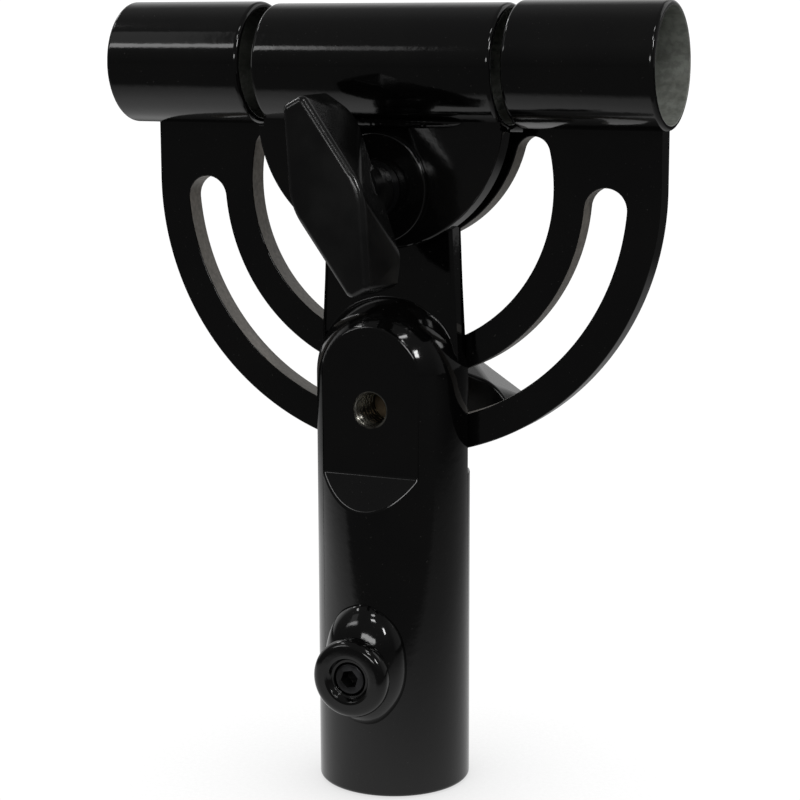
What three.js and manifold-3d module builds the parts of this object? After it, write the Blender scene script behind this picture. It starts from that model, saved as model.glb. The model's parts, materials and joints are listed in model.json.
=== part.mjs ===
// Umbrella swivel bracket: a receiver bar for a stand pin, with a tilting head that holds a pole.
// Millimetres, +Z up. The origin is the centre of the socket's mouth at the foot of the bar.
// The pole runs along X. The front, where the tee knob is, faces -Y.
import * as THREE from "three";
import { mergeVertices } from "three/addons/utils/BufferGeometryUtils.js";
import Module from "manifold-3d";

const wasm = await Module();
wasm.setup();

// Fits
const GAP = 0.3; // between welded or nested pieces
const SLIDE_GAP = 0.15; // between faces that slide on each other
const OVERRUN = 10; // how far a cutter runs past what it cuts
const ROUND = 48; // segments round a large circle
const SMALL_ROUND = 24; // segments round a small circle
const ARC_STEPS = 15; // half the segments along each arc of a plate's outline

// Receiver bar
const BAR_R = 19.05;
const PIVOT_Z = 150.4; // height of the pivot above the socket's mouth
const TONGUE_T = 6;
const TONGUE_TOP_R = 13.4; // round top about the pivot, which clears the middle sleeve at every tilt
const TONGUE_SHOULDER = [16.7, -10]; // half-width and height of the shoulder below it, from the pivot
const TONGUE_FOOT_HALF = 18.6; // half-width of the tongue where it meets the bar
const DOME_Z = PIVOT_Z - 46.1; // centre of the domed shoulder
const FLAT_Y = -14; // milled face on the front
const FLAT_BOTTOM_Z = PIVOT_Z - 69.6;
const RUN_OUT_DROP = 8.7; // height of the sloped end of the milled face
const BACK_CUT_Z = PIVOT_Z - 71; // foot of the cut that clears the slotted plate
const SOCKET_R = 14.4; // for a 1-1/8 in stand pin
const SOCKET_DEPTH = 64;
const LOCK_HOLE_Z = PIVOT_Z - 53.6;
const BOLT_R = 4.7; // 3/8 in bolt and screw
const BOLT_HOLE_R = 5;
const BOLT_NECK_HALF = 4.8; // square neck that turns with the slotted plate
const BOLT_NECK_HOLE_HALF = 5.1;
const BOLT_HEAD_R = 10.5;
const BOLT_HEAD_T = 4.6;
const BOLT_HEAD_RIM = 1.2;
const BOLT_HEAD_STEPS = 4;

// Set screw and its boss
const BOSS_Z = PIVOT_Z - 118;
const BOSS_FRONT_Y = -28;
const BOSS_R = 9.8;
const BOSS_EDGE = 1.2; // slope at each edge of the disc
const BOSS_DISC_T = 4.6;
const BOSS_WAIST_R = 7;
const BOSS_RECESS_R = 5.2;
const BOSS_RECESS = 1.2;
const LUMP_HALF = [10.8, 8.2, 16.8]; // half-sizes of the domed weld behind the disc
const LUMP_Y = -17;
const LUMP_RISE = 1.5;
const SET_SCREW_R = 3.9;
const SET_SCREW_HOLE_R = 4.2;
const SET_SCREW_LENGTH = 10;
const HEX_AF = 4;
const HEX_DEPTH = 4;
const TIP_R = 3;

// Pole sleeves
const SLEEVE_R = 15;
const SLEEVE_BORE_R = 13.6;
const SLEEVE_CHAMFER = 0.5;
const SLEEVE_Y = -1.4;
const SLEEVE_Z = PIVOT_Z + 29.5;
const OUTER_END = 71; // outer end of each outer sleeve from the pivot
const OUTER_SLEEVE_LENGTH = 37;
const MIDDLE_START = -30.5;
const MIDDLE_END = 31.7;
const MIDDLE_DROP = 0.5; // the middle sleeve sits a little low in its clamp

// Plates
const PLATE_T = 6.2;
const PLATE_HALF = 67.3; // half-width, and radius of the round foot
const PLATE_TOP = 19.5; // top edge above the pivot, before the sleeves cut it
const SLOT_R = 53.8;
const SLOT_HALF = 5.3;
const SLOT_ANGLE = THREE.MathUtils.degToRad(85); // each way from straight down
const CRESCENT_R = 40.5;
const CRESCENT_END_R = 4.2;
const HUB_R = 32.5; // round foot of the half-disc and of the slotted plate's hub
const HUB_RISE = 17.5; // its centre above the pivot
const MIDDLE_CLEARANCE = 1.2; // slotted plate to middle sleeve, all round
const MIDDLE_END_CLEARANCE = 1.5; // and past its ends
const REAR_STITCH = 2.8; // half-height of a weld
const FRONT_STITCH = 1.8;

// Knobs
const WASHER_R = 13.4;
const WASHER_T = 1.6;
const COLLAR_R = 6.9;
const COLLAR_T = 4;
const INSERT_R = 6;
const HUB_CONE_R = 8.5;
const WING_START = 11.6; // from the washer's face to the near side of the wings
const WING_DEPTH = 15.4;
const HUB_OVERLAP = 2; // how far the hub's cone runs into the wings
// Half of each wing outline: across, along, and how far the corner is eased. The other half is
// this one turned by 180 degrees.
const WING_FRONT = [
  [-5.7, 23.6, 1.8],
  [9.5, 2.5, 8],
  [11, -20.7, 1.8],
];
const WING_BACK = [
  [-6.9, 23.5, 1.8],
  [1, 18.6, 3],
  [12.6, -14.6, 4],
  [11.7, -21.4, 1.8],
];
const LOCK_KNOB_TURN = THREE.MathUtils.degToRad(-87);
const STUD_IN_KNOB = 16; // how far a stud or insert runs into the moulding
const LOCK_SCREW_TIP_Y = -2.5; // in the tapped hole

const paint = (color, roughness) => new THREE.MeshStandardMaterial({ color, roughness, metalness: 0.1 });
const metal = (color, roughness) => new THREE.MeshStandardMaterial({ color, roughness, metalness: 1 });
const GLOSS_BLACK = paint(0x0b0b0c, 0.22);
const MOULDED_BLACK = paint(0x101012, 0.35);
const ZINC = metal(0x8d9094, 0.4);
const BLACK_OXIDE = metal(0x1c1c1e, 0.4);
const BRASS = metal(0xb08d4a, 0.35);

// A geometry as a manifold solid, turned the right way out.
function solid(geometry) {
  const bare = geometry.index ? geometry.toNonIndexed() : geometry.clone();
  bare.deleteAttribute("normal");
  bare.deleteAttribute("uv");
  const merged = mergeVertices(bare, 1e-4);
  const vertProperties = new Float32Array(merged.attributes.position.array);
  const triVerts = new Uint32Array(merged.index.array);
  const made = new wasm.Manifold(new wasm.Mesh({ numProp: 3, vertProperties, triVerts }));
  if (made.volume() > 0) return made;
  const turned = triVerts.slice();
  for (let i = 0; i < turned.length; i += 3) {
    [turned[i + 1], turned[i + 2]] = [turned[i + 2], turned[i + 1]];
  }
  return new wasm.Manifold(new wasm.Mesh({ numProp: 3, vertProperties, triVerts: turned }));
}

function node(name, made, material) {
  const { vertProperties, triVerts } = made.getMesh();
  const geometry = new THREE.BufferGeometry();
  geometry.setAttribute("position", new THREE.BufferAttribute(vertProperties, 3));
  geometry.setIndex(new THREE.BufferAttribute(triVerts, 1));
  geometry.computeVertexNormals();
  const mesh = new THREE.Mesh(geometry, material);
  mesh.name = name;
  return mesh;
}

// A box from its lowest to its highest corner.
function box([x0, y0, z0], [x1, y1, z1]) {
  const geometry = new THREE.BoxGeometry(x1 - x0, y1 - y0, z1 - z0);
  geometry.translate((x0 + x1) / 2, (y0 + y1) / 2, (z0 + z1) / 2);
  return solid(geometry);
}

// A cylinder along X, Y or Z through a point, from one coordinate on that axis to another.
function rod(axis, radius, [x, y, z], from, to, segments = SMALL_ROUND) {
  const geometry = new THREE.CylinderGeometry(radius, radius, to - from, segments);
  geometry.translate(0, (from + to) / 2, 0);
  if (axis === "x") geometry.rotateZ(-Math.PI / 2);
  if (axis === "z") geometry.rotateX(Math.PI / 2);
  geometry.translate(axis === "x" ? 0 : x, axis === "y" ? 0 : y, axis === "z" ? 0 : z);
  return solid(geometry);
}

// A closed profile of [radius, distance along +Y] turned about a line along Y at height z.
function turned(profile, z, segments = SMALL_ROUND) {
  const closed = [...profile, profile[0]].map(([r, y]) => new THREE.Vector2(r, y));
  const geometry = new THREE.LatheGeometry(closed, segments);
  geometry.translate(0, 0, z);
  return solid(geometry);
}

// A flat shape drawn in X and Z from the pivot, as a plate between two Y faces.
function plate(shape, yFront, yBack) {
  const depth = yBack - yFront;
  const geometry = new THREE.ExtrudeGeometry(shape, { depth, bevelEnabled: false, curveSegments: ARC_STEPS });
  geometry.rotateX(Math.PI / 2);
  geometry.translate(0, yBack, PIVOT_Z);
  return solid(geometry);
}

// ---- Receiver ----

function tongueShape() {
  const [half, z] = TONGUE_SHOULDER;
  const tangent = Math.atan2(z, half) + Math.acos(TONGUE_TOP_R / Math.hypot(half, z));
  const foot = DOME_Z - PIVOT_Z - OVERRUN;
  const shape = new THREE.Shape();
  shape.moveTo(-TONGUE_FOOT_HALF, foot);
  shape.lineTo(TONGUE_FOOT_HALF, foot);
  shape.lineTo(half, z);
  shape.absarc(0, 0, TONGUE_TOP_R, tangent, Math.PI - tangent, false);
  shape.lineTo(-half, z);
  return shape;
}

// The front milling cut, drawn in Y and Z and run along X: a flat face with a sloped run-out below it.
function frontMilling() {
  const out = OVERRUN;
  const slope = RUN_OUT_DROP / (BAR_R + FLAT_Y);
  const profile = new THREE.Shape();
  profile.moveTo(FLAT_Y, PIVOT_Z);
  profile.lineTo(FLAT_Y, FLAT_BOTTOM_Z);
  profile.lineTo(FLAT_Y - out, FLAT_BOTTOM_Z - out * slope);
  profile.lineTo(FLAT_Y - out, PIVOT_Z);
  const geometry = new THREE.ExtrudeGeometry(profile, { depth: 2 * BAR_R + out, bevelEnabled: false });
  // Shape axes X, Y and depth become Y, Z and X.
  const basis = new THREE.Matrix4().set(0, 0, 1, 0, 1, 0, 0, 0, 0, 1, 0, 0, 0, 0, 0, 1);
  geometry.applyMatrix4(basis);
  geometry.translate(-BAR_R - out / 2, 0, 0);
  return solid(geometry);
}

function receiverBar() {
  const foot = [0, 0, 0];
  const dome = new THREE.SphereGeometry(BAR_R, ROUND, ROUND / 2);
  dome.rotateX(Math.PI / 2);
  dome.translate(0, 0, DOME_Z);
  const halfTongue = TONGUE_T / 2;
  const past = BAR_R + OVERRUN;
  return rod("z", BAR_R, foot, 0, DOME_Z, ROUND)
    .add(solid(dome))
    .subtract(box([-past, halfTongue, BACK_CUT_Z], [past, past, PIVOT_Z]))
    .add(plate(tongueShape(), -halfTongue, halfTongue))
    .subtract(frontMilling())
    .subtract(rod("z", SOCKET_R, foot, -OVERRUN, SOCKET_DEPTH, ROUND))
    .subtract(rod("y", BOLT_HOLE_R, [0, 0, PIVOT_Z], -past, past))
    .subtract(rod("y", BOLT_HOLE_R, [0, 0, LOCK_HOLE_Z], -past, past))
    .subtract(rod("y", SET_SCREW_HOLE_R, [0, 0, BOSS_Z], -past, 0));
}

function barSkin(extra) {
  return rod("z", BAR_R + extra, [0, 0, 0], 0, PIVOT_Z, ROUND);
}

// The disc and waist of the boss, as a profile from the bar outwards, grown by a gap all round.
function bossProfile(grow, front) {
  const back = BOSS_FRONT_Y + BOSS_DISC_T;
  return [
    [BOSS_WAIST_R + grow, -OVERRUN],
    [BOSS_WAIST_R + grow, back + BOSS_EDGE + grow / 2],
    [BOSS_R - BOSS_EDGE + grow, back + grow / 2],
    [BOSS_R + grow, back - BOSS_EDGE + grow / 2],
    [BOSS_R + grow, front + BOSS_EDGE],
    [BOSS_R + grow - BOSS_EDGE, front],
  ];
}

function screwBoss() {
  const recessFloor = BOSS_FRONT_Y + BOSS_RECESS;
  const profile = [
    [SET_SCREW_HOLE_R, -OVERRUN],
    ...bossProfile(0, BOSS_FRONT_Y),
    [BOSS_RECESS_R, BOSS_FRONT_Y],
    [BOSS_RECESS_R - BOSS_RECESS / 2, recessFloor],
    [SET_SCREW_HOLE_R, recessFloor],
  ];
  return turned(profile, BOSS_Z).subtract(barSkin(GAP));
}

// The weld that closes the boss to the bar: an oval dome round the waist, behind the disc.
function bossWeld() {
  const dome = new THREE.SphereGeometry(1, SMALL_ROUND, ROUND / 3);
  dome.scale(...LUMP_HALF);
  dome.translate(0, LUMP_Y, BOSS_Z + LUMP_RISE);
  const past = BOSS_FRONT_Y - OVERRUN;
  const boss = turned([[0, -OVERRUN], ...bossProfile(GAP, past), [0, past]], BOSS_Z);
  return solid(dome).subtract(barSkin(GAP)).subtract(boss);
}

function setScrew() {
  const front = BOSS_FRONT_Y + BOSS_RECESS;
  const hexRadius = HEX_AF / Math.sqrt(3);
  const hex = rod("y", hexRadius, [0, 0, BOSS_Z], front - 1, front + HEX_DEPTH, 6);
  return rod("y", SET_SCREW_R, [0, 0, BOSS_Z], front, front + SET_SCREW_LENGTH).subtract(hex);
}

function setScrewTip() {
  const start = BOSS_FRONT_Y + BOSS_RECESS + SET_SCREW_LENGTH + SLIDE_GAP;
  return rod("y", TIP_R, [0, 0, BOSS_Z], start, -SOCKET_R - SLIDE_GAP);
}

// ---- Head ----

const PLATE_FRONT = TONGUE_T / 2 + SLIDE_GAP;
const PLATE_BACK = PLATE_FRONT + PLATE_T;

function slotPath() {
  const right = -Math.PI / 2 + SLOT_ANGLE;
  const left = -Math.PI / 2 - SLOT_ANGLE;
  const end = (angle) => [SLOT_R * Math.cos(angle), SLOT_R * Math.sin(angle)];
  const path = new THREE.Path();
  path.absarc(0, 0, SLOT_R + SLOT_HALF, left, right, false);
  path.absarc(...end(right), SLOT_HALF, right, right + Math.PI, false);
  path.absarc(0, 0, SLOT_R - SLOT_HALF, right, left, true);
  path.absarc(...end(left), SLOT_HALF, left + Math.PI, left + 2 * Math.PI, false);
  return path;
}

// The crescent between the hub's round foot and a circle about the pivot, with a round end at each horn.
function crescentPath() {
  const fromPivot = CRESCENT_R - CRESCENT_END_R;
  const fromHub = HUB_R + CRESCENT_END_R;
  const z = (HUB_RISE ** 2 + fromPivot ** 2 - fromHub ** 2) / (2 * HUB_RISE);
  const x = Math.sqrt(fromPivot ** 2 - z ** 2);
  const outer = Math.atan2(z, x);
  const inner = Math.atan2(z - HUB_RISE, x);
  const path = new THREE.Path();
  path.absarc(0, 0, CRESCENT_R, -Math.PI - outer, outer, false);
  path.absarc(x, z, CRESCENT_END_R, outer, inner + Math.PI, false);
  path.absarc(0, HUB_RISE, HUB_R, inner, -Math.PI - inner, true);
  path.absarc(-x, z, CRESCENT_END_R, -inner, Math.PI - outer, false);
  return path;
}

function sleeveSpace(extra, from, to, drop = 0) {
  return rod("x", SLEEVE_R + extra, [0, SLEEVE_Y, SLEEVE_Z - drop], from, to, ROUND);
}

function slottedPlate() {
  const shape = new THREE.Shape();
  shape.moveTo(PLATE_HALF, PLATE_TOP);
  shape.lineTo(-PLATE_HALF, PLATE_TOP);
  shape.absarc(0, 0, PLATE_HALF, -Math.PI, 0, false);
  shape.holes.push(slotPath(), crescentPath());
  const past = OUTER_END + OVERRUN;
  const left = MIDDLE_START - MIDDLE_END_CLEARANCE;
  const right = MIDDLE_END + MIDDLE_END_CLEARANCE;
  return plate(shape, PLATE_FRONT, PLATE_BACK)
    .subtract(sleeveSpace(GAP, -past, past))
    .subtract(sleeveSpace(MIDDLE_CLEARANCE, left, right, MIDDLE_DROP))
    .subtract(squareNeck(BOLT_NECK_HOLE_HALF, 0, PLATE_BACK + OVERRUN));
}

// A square bar along Y at the pivot.
function squareNeck(half, from, to) {
  return box([-half, from, PIVOT_Z - half], [half, to, PIVOT_Z + half]);
}

function sleeve(from, to, drop = 0) {
  const c = SLEEVE_CHAMFER;
  const profile = [
    [SLEEVE_BORE_R, from],
    [SLEEVE_R - c, from],
    [SLEEVE_R, from + c],
    [SLEEVE_R, to - c],
    [SLEEVE_R - c, to],
    [SLEEVE_BORE_R, to],
  ];
  const closed = [...profile, profile[0]].map(([r, x]) => new THREE.Vector2(r, x));
  const geometry = new THREE.LatheGeometry(closed, ROUND);
  geometry.rotateZ(-Math.PI / 2);
  geometry.translate(0, SLEEVE_Y, SLEEVE_Z - drop);
  return solid(geometry);
}

// A weld stitch along X in the corner between a sleeve and the face of its plate at y.
function stitch(x, length, height, y, drop, plateSpace) {
  const fall = Math.sqrt(SLEEVE_R ** 2 - (y - SLEEVE_Y) ** 2);
  const bead = new THREE.SphereGeometry(1, SMALL_ROUND, SMALL_ROUND / 2);
  bead.scale(length / 2, height, height);
  bead.translate(x, y, SLEEVE_Z - drop - fall);
  const tube = sleeveSpace(GAP, x - length, x + length, drop);
  return solid(bead).subtract(tube).subtract(plateSpace);
}

function platesSpace(yFront, yBack) {
  const past = PLATE_HALF + OVERRUN;
  return box([-past, yFront - GAP, 0], [past, yBack + GAP, SLEEVE_Z]);
}

// A carriage bolt from behind: a shallow domed head, a square neck and a threaded shank.
function pivotBolt() {
  const tip = -(PLATE_BACK + WASHER_T + COLLAR_T + STUD_IN_KNOB);
  const rise = BOLT_HEAD_T - BOLT_HEAD_RIM;
  const head = [
    [0, PLATE_BACK + SLIDE_GAP],
    [BOLT_HEAD_R, PLATE_BACK + SLIDE_GAP],
  ];
  for (let step = 0; step <= BOLT_HEAD_STEPS; step += 1) {
    const angle = (step / BOLT_HEAD_STEPS) * (Math.PI / 2);
    head.push([BOLT_HEAD_R * Math.cos(angle), PLATE_BACK + BOLT_HEAD_RIM + rise * Math.sin(angle)]);
  }
  return turned(head, PIVOT_Z)
    .add(squareNeck(BOLT_NECK_HALF, PLATE_FRONT, PLATE_BACK + BOLT_HEAD_RIM))
    .add(rod("y", BOLT_R, [0, 0, PIVOT_Z], tip, PLATE_BACK));
}

// ---- Clamp ----

function halfDiscPlate() {
  const top = PLATE_TOP + 1;
  const shape = new THREE.Shape();
  shape.moveTo(HUB_R, top);
  shape.lineTo(-HUB_R, top);
  shape.absarc(0, HUB_RISE, HUB_R, -Math.PI, 0, false);
  return plate(shape, -PLATE_BACK, -PLATE_FRONT)
    .subtract(sleeveSpace(GAP, -OUTER_END, OUTER_END, MIDDLE_DROP))
    .subtract(box([-OUTER_END, -OVERRUN, SLEEVE_Z - SLEEVE_R], [MIDDLE_START, 0, SLEEVE_Z]))
    .subtract(box([MIDDLE_END, -OVERRUN, SLEEVE_Z - SLEEVE_R], [OUTER_END, 0, SLEEVE_Z]))
    .subtract(rod("y", BOLT_HOLE_R, [0, 0, PIVOT_Z], -PLATE_BACK - OVERRUN, 0));
}

function washer(yFront, z) {
  const yBack = yFront + WASHER_T;
  const profile = [
    [BOLT_HOLE_R, yFront],
    [WASHER_R, yFront],
    [WASHER_R, yBack],
    [BOLT_HOLE_R, yBack],
  ];
  return turned(profile, z);
}

// ---- Knobs, built with the seat at Y = 0 and the wings towards -Y, about a line at Z = 0 ----

// A wing outline at depth y, with each corner eased.
function wingOutline(half, y) {
  const corners = [...half, ...half.map(([x, z, ease]) => [-x, -z, ease])];
  const shape = new THREE.Shape();
  corners.forEach(([x, z, ease], i) => {
    const corner = new THREE.Vector2(x, z);
    const [before, after] = [corners.at(i - 1), corners[(i + 1) % corners.length]];
    const eased = ([nextX, nextZ]) => {
      const edge = new THREE.Vector2(nextX, nextZ).sub(corner);
      return corner.clone().add(edge.setLength(Math.min(ease, edge.length() / 2.2)));
    };
    const [into, out] = [eased(before), eased(after)];
    if (i === 0) shape.moveTo(into.x, into.y);
    else shape.lineTo(into.x, into.y);
    shape.quadraticCurveTo(x, z, out.x, out.y);
  });
  return shape.extractPoints(4).shape.map((point) => [point.x, y, point.y]);
}

function knobMoulding() {
  const seat = -COLLAR_T;
  const back = -WING_START;
  const front = back - WING_DEPTH;
  const inside = back - HUB_OVERLAP;
  const wings = wasm.Manifold.hull([...wingOutline(WING_FRONT, front), ...wingOutline(WING_BACK, back)]);
  const cone = turned(
    [[0, seat], [COLLAR_R + GAP, seat], [HUB_CONE_R, back], [HUB_CONE_R, inside], [0, inside]],
    0,
  );
  const bore = rod("y", INSERT_R + GAP, [0, 0, 0], seat - STUD_IN_KNOB - GAP, OVERRUN);
  return wings.add(cone).subtract(bore);
}

// The metal collar and insert, bored for the pivot bolt or solid round the lock screw.
function collar(boreR) {
  const seat = -SLIDE_GAP;
  const shoulder = SLIDE_GAP - COLLAR_T;
  const end = shoulder - STUD_IN_KNOB;
  const profile = [
    [boreR, seat],
    [COLLAR_R, seat],
    [COLLAR_R, shoulder],
    [INSERT_R, shoulder],
    [INSERT_R, end],
    [boreR, end],
  ];
  return turned(profile, 0);
}

function lockScrew() {
  return collar(0).add(rod("y", BOLT_R, [0, 0, 0], -COLLAR_T, STACK - LOCK_SCREW_TIP_Y));
}

// A group at a pivot line, with its knob facing the front or the back.
function knobGroup(y, z, facesBack, turn, ...meshes) {
  const group = new THREE.Group();
  group.position.set(0, y, z);
  group.rotation.set(0, turn, facesBack ? Math.PI : 0, "ZYX");
  group.add(...meshes);
  return group;
}

const STACK = PLATE_BACK + WASHER_T + SLIDE_GAP;
const frontPlate = platesSpace(-PLATE_BACK, -PLATE_FRONT);
const rearPlate = platesSpace(PLATE_FRONT, PLATE_BACK);
const sleeveStart = OUTER_END - OUTER_SLEEVE_LENGTH;

const bracket = new THREE.Group();
bracket.add(
  node("receiver_bar", receiverBar(), GLOSS_BLACK),
  node("screw_boss", screwBoss(), GLOSS_BLACK),
  node("boss_weld", bossWeld(), GLOSS_BLACK),
  node("set_screw", setScrew(), BLACK_OXIDE),
  node("set_screw_tip", setScrewTip(), BRASS),
  node("slotted_plate", slottedPlate(), GLOSS_BLACK),
  node("left_sleeve", sleeve(-OUTER_END, -sleeveStart), GLOSS_BLACK),
  node("right_sleeve", sleeve(sleeveStart, OUTER_END), GLOSS_BLACK),
  node("middle_sleeve", sleeve(MIDDLE_START, MIDDLE_END, MIDDLE_DROP), GLOSS_BLACK),
  node("half_disc_plate", halfDiscPlate(), GLOSS_BLACK),
  node("pivot_bolt", pivotBolt(), ZINC),
  node("knob_washer", washer(-PLATE_BACK - WASHER_T, PIVOT_Z), GLOSS_BLACK),
  node("lock_washer", washer(PLATE_BACK + SLIDE_GAP, LOCK_HOLE_Z), ZINC),
);

// Weld stitches: name, centre and length along X, half-height, and which face of which plate.
const stitches = [
  ["left_weld_rear", -51, 24, REAR_STITCH, PLATE_BACK, 0, rearPlate],
  ["right_weld_rear", 51, 24, REAR_STITCH, PLATE_BACK, 0, rearPlate],
  ["middle_weld_front", 0, 46, FRONT_STITCH, -PLATE_BACK, MIDDLE_DROP, frontPlate],
];
for (const [name, ...where] of stitches) bracket.add(node(name, stitch(...where), GLOSS_BLACK));

bracket.add(
  knobGroup(-PLATE_BACK - WASHER_T, PIVOT_Z, false, 0,
    node("tee_knob", knobMoulding(), MOULDED_BLACK),
    node("tee_knob_collar", collar(BOLT_HOLE_R), BLACK_OXIDE)),
  knobGroup(STACK, LOCK_HOLE_Z, true, LOCK_KNOB_TURN,
    node("lock_knob", knobMoulding(), MOULDED_BLACK),
    node("lock_screw", lockScrew(), ZINC)),
);

export default bracket;
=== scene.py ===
import json
import math

import bmesh
import bpy
from mathutils import Matrix, Vector

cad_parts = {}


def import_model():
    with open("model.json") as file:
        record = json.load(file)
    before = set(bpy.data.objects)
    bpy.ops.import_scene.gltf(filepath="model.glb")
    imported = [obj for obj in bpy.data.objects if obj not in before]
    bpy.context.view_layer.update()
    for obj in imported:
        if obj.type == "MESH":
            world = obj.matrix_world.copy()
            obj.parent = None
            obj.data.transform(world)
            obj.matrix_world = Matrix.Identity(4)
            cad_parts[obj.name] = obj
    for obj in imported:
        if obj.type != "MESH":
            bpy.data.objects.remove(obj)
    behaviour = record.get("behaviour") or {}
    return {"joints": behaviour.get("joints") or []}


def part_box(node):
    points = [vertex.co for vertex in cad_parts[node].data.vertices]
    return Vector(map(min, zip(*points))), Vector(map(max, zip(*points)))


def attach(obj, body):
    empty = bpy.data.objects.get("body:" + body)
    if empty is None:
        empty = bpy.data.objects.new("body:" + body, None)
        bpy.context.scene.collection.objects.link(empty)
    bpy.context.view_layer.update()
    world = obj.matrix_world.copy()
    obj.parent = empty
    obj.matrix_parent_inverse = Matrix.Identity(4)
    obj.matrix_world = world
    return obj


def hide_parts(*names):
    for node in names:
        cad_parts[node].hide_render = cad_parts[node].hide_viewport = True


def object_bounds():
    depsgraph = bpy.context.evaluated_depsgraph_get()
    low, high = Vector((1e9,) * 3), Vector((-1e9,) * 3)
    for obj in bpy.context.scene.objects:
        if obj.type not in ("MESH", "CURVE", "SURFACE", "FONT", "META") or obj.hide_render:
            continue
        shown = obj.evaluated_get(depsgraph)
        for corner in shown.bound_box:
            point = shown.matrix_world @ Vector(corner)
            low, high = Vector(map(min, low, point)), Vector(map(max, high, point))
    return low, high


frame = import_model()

# Umbrella swivel bracket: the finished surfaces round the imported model, and a small studio.
# The scene is in metres, +Z up. The bar stands at the origin, the pole sleeves run along X, and the front
# knob faces -Y.

MM = 0.001
CAD_LOW, CAD_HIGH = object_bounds()
JOINT = {joint["name"]: joint for joint in frame["joints"]}
PIVOT_Z = JOINT["head_tilt"]["pos_m"][2] / MM
LOCK_Z = JOINT["lock_knob_turn"]["pos_m"][2] / MM
BOSS_Z = JOINT["set_screw_turn"]["pos_m"][2] / MM


def low(node):
    """A CAD node's lowest corner, in millimetres."""
    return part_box(node)[0] / MM


def high(node):
    """A CAD node's highest corner, in millimetres."""
    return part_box(node)[1] / MM


# ---- Sizes in millimetres: from the frame, then those that its boxes don't give ----

BAR_R = high("receiver_bar").x
PLATE_FRONT = low("slotted_plate").y
PLATE_BACK = high("slotted_plate").y
PLATE_HALF = high("slotted_plate").x
DISC_FRONT = low("half_disc_plate").y
DISC_BACK = high("half_disc_plate").y
DISC_R = high("half_disc_plate").x
SLEEVE_R = (high("left_sleeve").z - low("left_sleeve").z) / 2
SLEEVE_Y = (high("left_sleeve").y + low("left_sleeve").y) / 2
SLEEVE_Z = high("left_sleeve").z - SLEEVE_R
MIDDLE_Z = high("middle_sleeve").z - SLEEVE_R
SCREW_TIP = low("lock_screw").y
BOSS_R = high("screw_boss").x
BOSS_FRONT = low("screw_boss").y

# The bar. A drop is measured down from the pivot.
DOME_DROP = 46.1
FLAT_Y = -14.0
FLAT_DROP = 69.6
RUN_OUT_HEIGHT = 8.7 # of the slope below the flat
BACK_CUT_DROP = 71.0
SOCKET_R = 14.4
SOCKET_DEPTH = 64.0
LIP_INNER_EDGE = 0.5
LIP_OUTER_EDGE = 1.1
BAR_EDGE = 0.55
TONGUE_HALF = 3.0
TONGUE_TOP_R = 13.4
TONGUE_SHOULDER = (16.7, -10.0)
TONGUE_FOOT_HALF = 18.6

# Holes, threads and the bolt.
HOLE_R = 5.0
TAPPED_R = 4.62
STUD_R = 4.6
THREAD_PITCH = 25.4 / 16
THREAD_DEPTH = 0.5
STUD_THREAD_DEPTH = 0.55
BOLT_HEAD_R = 10.5
BOLT_CROWN_R = 7.4

# The boss, its weld and its screw. The boss's depths are measured back from its front.
BOSS_EDGE = 2.2
BOSS_DISC_DEPTH = 4.8
BOSS_WAIST_DEPTH = 5.6
BOSS_WAIST_R = 7.0
BOSS_ROOT_Y = -16.5
BOSS_RECESS_DEPTH = 1.25
BOSS_RECESS_R = 4.75
BOSS_DISH_R = 5.5
BOSS_RIM_R = 6.2
SCREW_HOLE_R = 4.2
BEAD_Y = -17.0
BEAD_HALF_Y = 8.1
SET_SCREW_R = 3.85
TIP_R = 3.0
HEX_ACROSS = 4.0
HEX_DEPTH = 4.0

# The plates. A rise is measured up from the pivot.
PLATE_EDGE = 0.35
DISC_EDGE = 0.7
DISC_SHOULDER_RISE = 14.4
SLOT_R = 53.8
SLOT_HALF = 5.3
SLOT_ANGLE = math.radians(85)
CRESCENT_R = 40.5
CRESCENT_END_R = 4.2
HUB_RISE = 17.5
DISC_TOP_RISE = HUB_RISE + 2.5

# The walls of the cut-outs are painted a pale rough grey, as painted light that they catch, within a reach
# of the pivot and up to a height above it.
PAINTED_LIGHT_REACH = 61.5
PAINTED_LIGHT_TOP = 13.0

# The sleeves and their welds.
SLEEVE_BORE_R = 13.6
SLEEVE_EDGE = 1.15
BORE_EDGE = 0.2
MIDDLE_CLEARANCE = 1.2
MIDDLE_LEFT_CLEARANCE = 2.0
MIDDLE_RIGHT_CLEARANCE = 1.0
WELD_ROOT = 0.8 # how far a weld's root is sunk in its plate and its sleeve
RIPPLE_LENGTH = 1.9

# The knobs: the faces they bear on, then sizes. A start or an end is measured away from there.
SEAT_FRONT = low("knob_washer").y
SEAT_BACK = high("lock_washer").y
COLLAR_FOOT_R = 6.9
COLLAR_R = 5.9
COLLAR_FOOT = (0.15, 3.85)
COLLAR_END = 18.0
STEM_START = 4.1
STEM_FOOT_R = 7.2
STEM_R = 8.4
WING_START = 11.6
WING_DEPTH = 15.4
# Half of each wing outline: across, along, and the corner's radius. The other half is this turned by 180
# degrees.
WING_FRONT = [(-5.7, 23.6, 1.9), (9.5, 2.5, 16), (11, -20.7, 1.8)]
WING_BACK = [(-6.85, 23.3, 1.6), (1, 18.4, 12), (12.5, -14.6, 9), (11.6, -21.3, 1.7)]
WING_FRONT_EDGE = 1.8
WING_BACK_EDGE = 0.8
REAR_KNOB_TURN = -87 # degrees

# Segments round a large, a middling and a small turned piece.
ROUND = 160
MIDDLING = 96
FINE = 64

FAR = 30 # past the bar on every side
WIDE = 90 # past the sleeves' ends
HAIR = 0.1 # keeps two faces from meeting in one plane
ON_SURFACE = 0.02 # how near a point is to a surface that it lies on


# ---- Mesh helpers ----

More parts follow.
